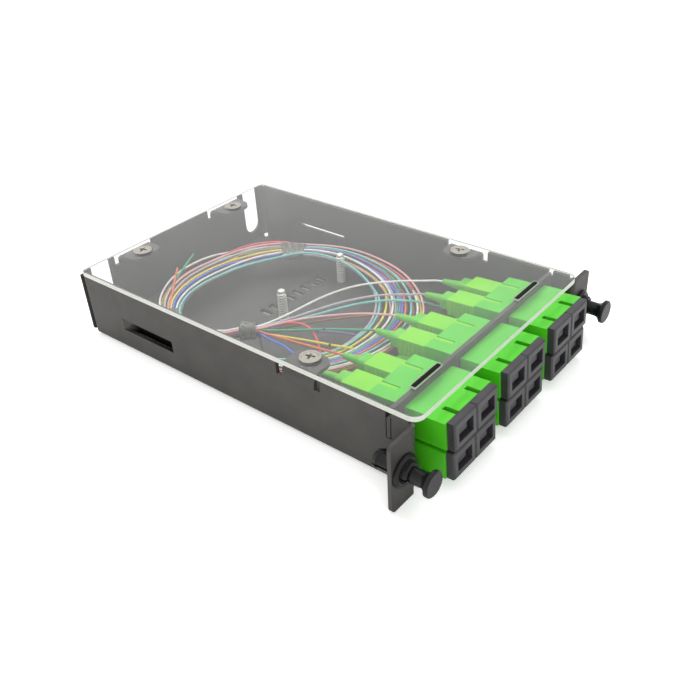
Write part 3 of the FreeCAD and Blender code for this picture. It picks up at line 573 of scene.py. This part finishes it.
# Each fibre: its port and colour, its place in the bundle, its route from boot to bundle, and its two turns
# in the coil. A turn's four places are (share of the band from the inside, layer from the top). Two fibres
# leave the coil at an angle of their own, to a free end.
fibres = {
    "white": {
        "row": "upper", "port": 6, "hex": "#f6f4ef", "entry": (-1, 1.5),
        "route": [
            (-55.4, 36.2, 15.6), (-63.4, 31.4, 15.4), (-70.5, 25.6, 15.2), (-76.3, 20.0, 14.9),
            (-80.7, 12.8, 14.6), (-83.9, 4.2, 14.3), (-85.6, -5.6, 14.1), (-87.0, -14.8, 13.9),
        ],
        "turns": [
            ((0.98, 0), (1.0, 2), (0.97, 2), (0.88, 0)),
            ((0.21, 0), (0.25, 0), (0.36, 0), (0.36, 0)),
        ],
    },
    "slate": {
        "row": "upper", "port": 5, "hex": "#c4b8c2", "entry": (0, 1.5),
        "route": [
            (-53.3, 23.5, 15.9), (-59.7, 20.8, 15.4), (-66.9, 14.9, 15.1), (-72.1, 8.0, 14.9),
            (-76.4, 1.2, 14.6), (-79.9, -6.3, 14.3), (-84.1, -15.8, 14.0),
        ],
        "turns": [
            ((0.62, 0), (0.68, 0), (0.45, 1), (0.42, 1)),
            ((0.3, 2), (0.3, 2), (0.04, 1), (0.0, 0)),
        ],
    },
    "rose": {
        "row": "upper", "port": 4, "hex": "#f6b9b8", "entry": (1, 1.5),
        "route": [
            (-53.3, 5.2, 16.0), (-58.8, 3.2, 15.6), (-65.5, -0.7, 15.1), (-71.7, -5.6, 14.7),
            (-77.6, -11.0, 14.4), (-84.0, -18.3, 14.0),
        ],
        "turns": [
            ((0.75, 0), (0.87, 0), (1.0, 0), (0.995, 0)),
            ((0.6, 2), (0.5, 2), (0.3, 2), (0.3, 2)),
        ],
    },
    "green": {
        "row": "upper", "port": 3, "hex": "#38ac7c", "entry": (0, 0.5),
        "route": [
            (-54.0, -8.8, 16.2), (-60.6, -11.8, 15.7), (-67.2, -15.0, 15.1), (-73.4, -18.6, 14.4),
            (-79.6, -22.2, 13.8), (-85.8, -25.6, 13.3),
        ],
        "turns": [
            ((0.8, 2), (0.75, 2), (0.7, 1), (0.46, 0)),
            ((0.86, 1), (0.8, 1), (0.66, 1), (0.68, 1)),
        ],
        "end": {"angle": 207, "places": [
            (-151.2, -12.4, 12.8), (-154.0, -6.8, 13.4), (-157.4, 0.9, 14.0),
        ]},
    },
    "orange": {
        "row": "upper", "port": 2, "hex": "#f27a48", "entry": (1, 0.5),
        "route": [
            (-54.4, -26.0, 15.9), (-61.8, -26.2, 15.1), (-69.7, -26.6, 14.2), (-77.6, -26.6, 13.4),
            (-84.8, -27.6, 13.0),
        ],
        "turns": [
            ((0.7, 2), (0.65, 2), (0.62, 2), (0.635, 0)),
            ((0.62, 0), (0.55, 1), (0.62, 2), (0.6, 2)),
        ],
        "end": {"angle": 221, "places": [
            (-140.7, -26.2, 13.1), (-147.2, -19.5, 13.6), (-153.4, -12.3, 14.0),
        ]},
    },
    "blue": {
        "row": "upper", "port": 1, "hex": "#5a78e4", "entry": (1, -0.5),
        "route": [
            (-55.2, -37.4, 16.2), (-62.6, -35.0, 15.7), (-69.4, -32.6, 15.2), (-76.0, -30.8, 14.2),
            (-82.8, -29.9, 13.0),
        ],
        "turns": [
            ((0.4, 2), (0.45, 2), (0.5, 1), (0.57, 0)),
            ((0.37, 0), (0.3, 1), (0.5, 1), (0.57, 1)),
        ],
    },
    "aqua": {
        "row": "lower", "port": 6, "hex": "#7fd8d0", "entry": (-1, 0.5),
        "route": [
            (-48.3, 34.4, 6.6), (-49.5, 27.4, 11.8), (-53.2, 22.0, 13.9), (-58.2, 18.6, 14.2),
            (-63.3, 15.2, 14.0), (-69.0, 9.5, 13.7), (-73.4, 2.5, 13.5), (-78.4, -6.9, 13.3),
            (-84.0, -15.5, 13.0),
        ],
        "turns": [
            ((0.9, 2), (0.92, 2), (0.76, 0), (0.73, 0)),
            ((0.03, 0), (0.0, 0), (0.0, 0), (0.06, 0)),
        ],
    },
    "brown": {
        "row": "lower", "port": 5, "hex": "#a07058", "entry": (-1, -1.5),
        "route": [
            (-54.8, 22.4, 6.4), (-61.4, 15.8, 7.6), (-67.6, 8.2, 8.8), (-72.8, 0.6, 9.8),
            (-78.4, -7.8, 10.6), (-85.2, -18.4, 11.2),
        ],
        "turns": [
            ((0.6, 1), (0.8, 2), (0.84, 2), (0.79, 1)),
            ((0.2, 2), (0.4, 2), (0.7, 2), (0.8, 2)),
        ],
    },
    "violet": {
        "row": "lower", "port": 4, "hex": "#8479ae", "entry": (0, -0.5),
        "route": [
            (-51.0, 1.4, 6.0), (-54.4, -2.4, 9.2), (-60.6, -7.1, 11.0), (-67.2, -11.0, 11.8),
            (-74.0, -15.2, 12.1), (-82.4, -20.6, 11.9),
        ],
        "turns": [
            ((0.3, 1), (0.6, 1), (0.57, 0), (0.515, 0)),
            ((0.35, 2), (0.3, 2), (0.05, 1), (0.1, 1)),
        ],
    },
    "yellow": {
        "row": "lower", "port": 3, "hex": "#f0dc40", "entry": (0, -1.5),
        "route": [
            (-50.8, -8.4, 6.6), (-51.2, -17.4, 13.8), (-59.2, -20.4, 13.9), (-68.9, -22.4, 13.3),
            (-79.5, -25.0, 12.6), (-85.0, -26.3, 12.0),
        ],
        "turns": [
            ((0.46, 0), (0.43, 0), (0.34, 2), (0.22, 0)),
            ((0.5, 1), (0.9, 2), (0.96, 2), (0.95, 1)),
        ],
    },
    "red": {
        "row": "lower", "port": 2, "hex": "#ea5a60", "entry": (-1, -0.5),
        "route": [
            (-55.2, -26.4, 6.4), (-61.8, -23.4, 8.5), (-66.4, -19.2, 12.2), (-72.6, -16.0, 14.2),
            (-79.4, -16.0, 14.4), (-85.6, -20.0, 13.6),
        ],
        "turns": [
            ((0.96, 2), (1.0, 0), (0.93, 1), (0.92, 2)),
            ((0.55, 2), (0.6, 2), (0.6, 2), (0.6, 1)),
        ],
    },
    "black": {
        "row": "lower", "port": 1, "hex": "#2a2a2d", "entry": (1, -1.5),
        "route": [
            (-55.2, -36.8, 6.0), (-63.4, -36.4, 6.2), (-72.4, -35.8, 6.6), (-80.6, -33.6, 8.2),
            (-85.8, -30.6, 10.2),
        ],
        "turns": [
            ((0.3, 2), (0.35, 2), (0.4, 2), (0.4, 2)),
            ((0.75, 2), (0.78, 2), (0.78, 2), (0.74, 2)),
        ],
    },
}

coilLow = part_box("fibre_coil")[0]


def bandAt(angle):  # outer and inner reach at an angle in degrees
    angle %= 360
    table = coilBand + [(coilBand[0][0] + 360, *coilBand[0][1:])]
    for low, high in zip(table, table[1:]):
        if low[0] <= angle <= high[0]:
            share = (angle - low[0]) / (high[0] - low[0])
            return tuple(a + (b - a) * share for a, b in zip(low[1:], high[1:]))


def turnKeys(turns):  # (angle, share, layer) down the fibre's way, which runs by falling angle
    keys = [(fibreSizes["firstPlace"], *turns[0][0])]
    for number, places in enumerate(turns):
        for angles, place in zip(turnAngles, places):
            keys += [(angle - 360 * number, *place) for angle in angles]
    keys.append((fibreSizes["coilEnd"] - fibreSizes["endSpread"], *turns[-1][2]))
    return keys


def placeAt(keys, angle):
    for high, low in zip(keys, keys[1:]):
        if low[0] <= angle <= high[0]:
            share = (high[0] - angle) / (high[0] - low[0])
            share = share * share * (3 - 2 * share)
            return high[1] + (low[1] - high[1]) * share, high[2] + (low[2] - high[2]) * share


def coilPoint(angle, share, layer, wave):
    outer, inner = bandAt(angle)
    share += fibreSizes["sway"] * math.sin(math.radians(2 * angle) + wave)
    reach = inner + (outer - inner) * min(1, max(0, share))
    turn = math.radians(angle)
    spare = (fibreSizes["coilDepth"] - 2 * fibreSizes["radius"]) * mm
    z = coilLow.z + fibreSizes["radius"] * mm + spare * (1 - layer / 2)
    x = (fibreSizes["coilMiddle"] + reach * math.cos(turn)) * mm
    return Vector((x, reach * math.sin(turn) * mm, z))


def bundleLine():  # where the bundle starts, its direction and the direction across it
    heading = math.radians(fibreSizes["bundleHeading"])
    along = Vector((math.cos(heading), math.sin(heading), 0))
    across = Vector((-math.sin(heading), math.cos(heading), 0))
    return Vector(fibreSizes["bundleStart"]) * mm, along, across


def fibrePoints(fibre, wave):
    x, z = bootTips[fibre["row"]]
    tip = Vector((x, portSides[fibre["port"]], z)) * mm
    back = Vector((-math.cos(bootTilt), 0, -math.sin(bootTilt))) * fibreSizes["inBoot"] * mm
    points = [tip - back, tip + back]
    points += [Vector(place) * mm for place in fibre["route"]]
    start, along, across = bundleLine()
    shift = (across * fibre["entry"][0] + Vector((0, 0, fibre["entry"][1]))) * fibreSizes["pitch"] * mm
    for way, spread in fibreSizes["bundleSteps"]:
        sink = Vector((0, 0, -fibreSizes["bundleSink"] * max(0, way) ** 2 * mm))
        points.append(start + along * way * mm + shift * spread + sink)
    keys = turnKeys(fibre["turns"])
    end = fibre.get("end")
    last = fibreSizes["coilEnd"] + fibreSizes["endSpread"] * math.sin(wave)
    if end:
        last = end["angle"] - 360
    angle = fibreSizes["coilStart"]
    while angle > last:
        points.append(coilPoint(angle, *placeAt(keys, angle), wave))
        angle -= 360 / fibreSizes["pointsPerTurn"]
    if end:
        points += [Vector(place) * mm for place in end["places"]]
    return points


def makeFibre(name, fibre, wave):
    points = fibrePoints(fibre, wave)
    curve = bpy.data.curves.new("fibre_" + name, "CURVE")
    curve.dimensions = "3D"
    spline = curve.splines.new("NURBS")
    spline.points.add(len(points) - 1)
    for spot, point in zip(spline.points, points):
        spot.co = (*point, 1)
    spline.order_u = 3
    spline.use_endpoint_u = True
    curve.resolution_u = 4
    curve.bevel_depth = fibreSizes["radius"] * mm
    curve.bevel_resolution = 2
    curve.use_fill_caps = True
    piece = bpy.data.objects.new("fibre_" + name, curve)
    bpy.context.scene.collection.objects.link(piece)
    activate(piece)
    bpy.ops.object.convert(target="MESH")
    piece = ready("fibre_" + name, fibreJacket(name, fibre["hex"]), 60)
    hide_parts("fanout_fibres", "fibre_coil")


chance = random.Random(11)
for name, fibre in fibres.items():
    makeFibre(name, fibre, chance.uniform(0, math.tau))
print("fibres wound")


# Stud sizes in mm, with the crest and the tip's taper as shares of the pitch and of the core. The thread is
# coarser than a real stud's, because a finer one doesn't show.
studShape = {
    "sides": 24,
    "pitch": 1.15,
    "depth": 0.5,
    "crest": (0.42, 0.58),
    "sunk": 0.05,
    "free": 0.9,
    "tip": 0.35,
    "taper": 0.35,
    # the top turns left without painted shade, and how strong the painted shade in the root is
    "unshadedTurns": 2,
    "paintedRootShade": 0.9,
}


def makeCore(x, y, low, high, core):  # a rod with a tapered tip
    bpy.ops.mesh.primitive_cylinder_add(vertices=studShape["sides"], radius=core, depth=high - low,
                                        location=(x, y, (high + low) / 2))
    stud = bpy.context.object
    pick(stud, "FACE", lambda face: face.normal.z > 0.9)
    bpy.ops.mesh.inset(thickness=core * studShape["taper"], depth=0)
    bpy.ops.transform.translate(value=(0, 0, studShape["tip"] * mm))
    settle(stud)
    return stud


def makeThread(x, y, low, core, radius, turns):  # one ridge wound up the rod
    pitch = studShape["pitch"] * mm
    foot = core - studShape["sunk"] * mm
    bpy.ops.mesh.primitive_plane_add(size=1, location=(0, 0, 0))
    ridge = bpy.context.object
    activate(ridge)
    bpy.ops.object.mode_set(mode="EDIT")
    bpy.ops.mesh.select_all(action="SELECT")
    bpy.ops.mesh.delete(type="ONLY_FACE")
    bpy.ops.object.mode_set(mode="OBJECT")
    rise, fall = studShape["crest"]
    profile = {0: (foot, 0), 2: (radius, pitch * rise), 3: (radius, pitch * fall), 1: (foot, pitch)}
    for index, (reach, lift) in profile.items():
        ridge.data.vertices[index].co = (reach, 0, lift)
    pick(ridge, "EDGE", lambda a, b: abs(a.z - b.z) > 0.9 * pitch)
    bpy.ops.mesh.delete(type="EDGE")
    bpy.ops.object.mode_set(mode="OBJECT")
    helix = ridge.modifiers.new("helix", "SCREW")
    helix.screw_offset = pitch
    helix.iterations = turns
    helix.steps = studShape["sides"]
    helix.render_steps = studShape["sides"]
    helix.use_merge_vertices = True
    helix.merge_threshold = 0.00001
    applyModifiers(ridge)
    bpy.ops.transform.translate(value=(x, y, low))
    settle(ridge)
    return ridge


def makeStud(number, x, y, low, high, radius):
    core = radius - studShape["depth"] * mm
    pitch = studShape["pitch"] * mm
    turns = int((high - low - studShape["free"] * mm) / pitch)
    stud = makeCore(x, y, low, high, core)
    ridge = makeThread(x, y, low, core, radius, turns)
    activate(ridge)
    stud.select_set(True)
    bpy.context.view_layer.objects.active = stud
    bpy.ops.object.join()
    piece = ready(f"stud_{number}", zincLook, 35)
    # painted shade in the thread's root, kept off the top turns
    root = piece.data.attributes.new("threadRoot", "FLOAT", "POINT")
    for vertex in piece.data.vertices:
        reach = math.hypot(vertex.co.x - x, vertex.co.y - y)
        inside = reach < core + 0.02 * mm
        if inside and low < vertex.co.z < high - studShape["unshadedTurns"] * pitch:
            root.data[vertex.index].value = studShape["paintedRootShade"]
    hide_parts("studs")


studLow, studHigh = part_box("studs")
studRadius = (studHigh.x - studLow.x) / 2
studMiddle = (studLow.x + studHigh.x) / 2
shoulder = studHigh.z - studShape["tip"] * mm
for number, y in enumerate((studLow.y + studRadius, studHigh.y - studRadius), 1):
    makeStud(number, studMiddle, y, studLow.z, shoulder, studRadius)
print("studs threaded")


# Cover screws in mm: (x, y) places, the turned outline as (radius, height), and the cross recess, which is
# narrower at its foot.
screwShape = {
    "places": [(-45.6, 45.9), (-45.6, -45.9), (-155.5, 26.4), (-155.5, -26.4)],
    "profile": [(0, 24.5), (1.5, 24.5), (2.0, 25.0), (2.0, 27.8), (3.8, 29.5), (3.8, 29.62), (3.5, 29.74),
                (3.15, 29.74), (2.98, 29.5), (2.8, 29.6), (2.2, 29.82), (1.1, 29.89), (0, 29.9)],
    "sides": 40,
    "span": 4.2,
    "slot": 0.95,
    "footSpan": 0.55,
    "footSlot": 0.7,
    "foot": 28.8,
    "mouth": 30.2,
    "turned": 18,
}


def latheProfile(profile, steps):  # a closed solid of turning round Z
    bpy.ops.mesh.primitive_circle_add(vertices=len(profile), radius=1)
    solid = bpy.context.object
    for vertex, (reach, height) in zip(solid.data.vertices, profile):
        vertex.co = (reach * mm, 0, height * mm)
    onAxis = 0.0001 * mm
    pick(solid, "EDGE", lambda a, b: a.x < onAxis and b.x < onAxis)
    bpy.ops.mesh.delete(type="EDGE")
    bpy.ops.mesh.select_all(action="SELECT")
    bpy.ops.mesh.spin(steps=steps, angle=math.tau, center=(0, 0, 0), axis=(0, 0, 1))
    mergeDoubles(solid, 0.000002, outward=True)
    return solid


def makeCutter(turn):  # one arm of the cross recess
    deselectAll()
    bpy.ops.mesh.primitive_cube_add(size=1, location=(0, 0, 0))
    cutter = bpy.context.object
    for vertex in cutter.data.vertices:
        low = vertex.co.z < 0
        vertex.co.x *= screwShape["span"] * mm * (screwShape["footSpan"] if low else 1)
        vertex.co.y *= screwShape["slot"] * mm * (screwShape["footSlot"] if low else 1)
        vertex.co.z = (screwShape["foot"] if low else screwShape["mouth"]) * mm
    cutter.rotation_euler.z = math.radians(turn)
    settle(cutter)
    return cutter


def makeScrew(number, x, y):
    deselectAll()
    screw = latheProfile(screwShape["profile"], screwShape["sides"])
    cutters = [makeCutter(screwShape["turned"] + turn) for turn in (0, 90)]
    for cutter in cutters:
        cut = screw.modifiers.new("recess", "BOOLEAN")
        cut.operation = "DIFFERENCE"
        cut.solver = "EXACT"
        cut.object = cutter
    applyModifiers(screw)
    for cutter in cutters:
        bpy.data.objects.remove(cutter, do_unlink=True)
    activate(screw)
    bpy.ops.transform.translate(value=(x * mm, y * mm, 0))
    piece = ready(f"cover_screw_{number}", nickelLook, 32)
    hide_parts("cover_screws")


for number, (x, y) in enumerate(screwShape["places"], 1):
    makeScrew(number, x, y)
print("screws made")


# Wraps, in mm and degrees: the film's grid, thickness, crinkles and corners, and where each wrap sits.
# The bundle's stations are (way along it, half width, half height), and the coil's wraps are given as
# (first angle, last angle, stations).
wrapShape = {
    "around": 40,
    "along": 22,
    "film": 0.18,
    "ridge": 0.16,
    "ridges": {"wrap_bundle": 5, "wrap_side": 4, "wrap_back": 4},
    "swell": 0.5,
    "pucker": 0.3,
    "squareness": 2.8,
    "bundle": ((0.1, 2.5, 2.9), (2.2, 2.7, 3.1), (4.2, 3.0, 3.3), (6.2, 3.2, 3.4)),
    "side": (121.5, 136, 5),
    "back": (229, 238, 4),
    "beside": 0.5,
    "above": 0.1,
}


def superEllipse(across, up):  # how far a squarish outline reaches in a direction
    power = wrapShape["squareness"]
    return (abs(across) ** power + abs(up) ** power) ** (-1 / power)


def makeWrap(name, stations):  # stations are (middle, direction across, half width, half height)
    deselectAll()
    bpy.ops.mesh.primitive_grid_add(x_subdivisions=wrapShape["along"], y_subdivisions=wrapShape["around"],
                                    size=1)
    wrap = bpy.context.object
    for vertex in wrap.data.vertices:
        along = (vertex.co.x + 0.5) * (len(stations) - 1)
        number = min(int(along), len(stations) - 2)
        share = along - number
        nearer, further = stations[number:number + 2]
        middle, side, wide, high = (a + (b - a) * share for a, b in zip(nearer, further))
        turn = (vertex.co.y + 0.5) * math.tau
        across, up = math.cos(turn), math.sin(turn)
        reach = superEllipse(across, up)
        run = vertex.co.x * math.tau * wrapShape["ridges"][name]
        pucker = math.sin(1.7 * run + 2 * turn)
        crinkle = 1 + wrapShape["swell"] * math.sin(run) + wrapShape["pucker"] * pucker
        grow = wrapShape["ridge"] * mm * crinkle
        sideways = side * across * (wide * reach + grow)
        vertex.co = middle + sideways + Vector((0, 0, up * (high * reach + grow)))
    mergeDoubles(wrap, 0.00001, outward=True)
    skin = wrap.modifiers.new("film", "SOLIDIFY")
    skin.thickness = wrapShape["film"] * mm
    skin.offset = -1
    applyModifiers(wrap)
    piece = ready(name + "_film", tapeLook, 50)
    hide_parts(name)


def bandStations(first, last, count):
    stations = []
    for number in range(count):
        angle = first + (last - first) * number / (count - 1)
        outer, inner = bandAt(angle)
        turn = math.radians(angle)
        side = Vector((math.cos(turn), math.sin(turn), 0))
        middle = Vector((fibreSizes["coilMiddle"] * mm, 0, 0)) + side * (outer + inner) / 2 * mm
        middle.z = coilLow.z + fibreSizes["coilDepth"] / 2 * mm
        wide = ((outer - inner) / 2 + wrapShape["beside"]) * mm
        high = (fibreSizes["coilDepth"] / 2 + wrapShape["above"]) * mm
        stations.append((middle, side, wide, high))
    return stations


def bundleStations():
    start, along, across = bundleLine()
    stations = []
    for way, wide, high in wrapShape["bundle"]:
        stations.append((start + along * way * mm, across, wide * mm, high * mm))
    return stations


makeWrap("wrap_bundle", bundleStations())
makeWrap("wrap_side", bandStations(*wrapShape["side"]))
makeWrap("wrap_back", bandStations(*wrapShape["back"]))
print("wraps made")


# Printed bands round two fibres: sizes and middles in mm, and each fibre's direction there.
ringMarks = {
    "radius": 0.5,
    "length": 0.9,
    "sides": 20,
    "hex": "#1d1d1f",
    "places": {
        "green": ((-66.83, -14.88, 15.12), (-6.6, -3.2, -0.6)),
        "yellow": ((-59.4, -20.4, 13.78), (-8.85, -2.5, -0.25)),
    },
}


def makeMark(name, middle, heading):
    deselectAll()
    turned = Vector(heading).normalized().to_track_quat("Z", "Y").to_euler()
    bpy.ops.mesh.primitive_cylinder_add(vertices=ringMarks["sides"], radius=ringMarks["radius"] * mm,
                                        depth=ringMarks["length"] * mm, end_fill_type="NOTHING",
                                        location=Vector(middle) * mm, rotation=turned)
    piece = ready(f"ring_mark_{name}", markLook, 60)
    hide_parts("fanout_fibres")


markLook = fibreJacket("mark", ringMarks["hex"])
for name, (middle, heading) in ringMarks["places"].items():
    makeMark(name, middle, heading)
print("marks made")


# The stage in metres, watts and shares of full white.
stageLook = {
    "floor": "#fafaf9",
    "white": "#ffffff",
    "size": 6.0,
    "under": -0.0002,
    "glow": 0.42,
    "seen": 1.0,
    "lighting": 0.72,
    "aim": (-0.05, 0, 0),
    "lamps": {
        "keyLamp": {"place": (-0.35, 0.25, 0.9), "size": 0.7, "power": 6.4},
        "fillLamp": {"place": (0.5, -0.7, 0.6), "size": 0.8, "power": 2.0},
    },
}


def addFloor():  # matt white card, which glows for the camera only
    bpy.ops.mesh.primitive_plane_add(size=stageLook["size"], location=(0, 0, stageLook["under"]))
    floor = bpy.context.object
    floor.name = "floor"
    material, tree, shader = startMaterial("paleFloor", {
        "Base Color": colour(stageLook["floor"]), "Roughness": 0.9, "Specular IOR Level": 0.1,
        "Emission Color": colour(stageLook["white"])})[:3]
    path = addNode(tree, "ShaderNodeLightPath")
    glow = addNode(tree, "ShaderNodeMath", {"operation": "MULTIPLY", 1: stageLook["glow"]},
                   {0: (path, "Is Camera Ray")})
    tree.links.new(glow.outputs["Value"], shader.inputs["Emission Strength"])
    floor.data.materials.append(material)


def addWorld():  # full white where it is seen, mirrored or looked through, and dimmer as light
    world = bpy.data.worlds.new("softWhite")
    bpy.context.scene.world = world
    world.use_nodes = True
    tree = world.node_tree
    background = tree.nodes["Background"]
    background.inputs["Color"].default_value = colour(stageLook["white"])
    path = addNode(tree, "ShaderNodeLightPath")
    seen = addNode(tree, "ShaderNodeMath", {"operation": "MAXIMUM"},
                   {0: (path, "Is Camera Ray"), 1: (path, "Is Glossy Ray")})
    through = addNode(tree, "ShaderNodeMath", {"operation": "MAXIMUM"},
                      {0: (seen, "Value"), 1: (path, "Is Transmission Ray")})
    level = addNode(tree, "ShaderNodeMapRange",
                    {"To Min": stageLook["lighting"], "To Max": stageLook["seen"]},
                    {"Value": (through, "Value")})
    tree.links.new(level.outputs["Result"], background.inputs["Strength"])


def addLamp(name, place, size, power):
    bpy.ops.object.light_add(type="AREA", location=place)
    lamp = bpy.context.object
    lamp.name = name
    lamp.data.size = size
    lamp.data.energy = power
    lamp.visible_glossy = False  # keeps the lamp's square out of the cover
    aim = Vector(stageLook["aim"]) - Vector(place)
    lamp.rotation_euler = aim.to_track_quat("-Z", "Y").to_euler()


addFloor()
addWorld()
for name, lamp in stageLook["lamps"].items():
    addLamp(name, **lamp)
bpy.context.scene.view_settings.view_transform = "Standard"
print("stage lit")
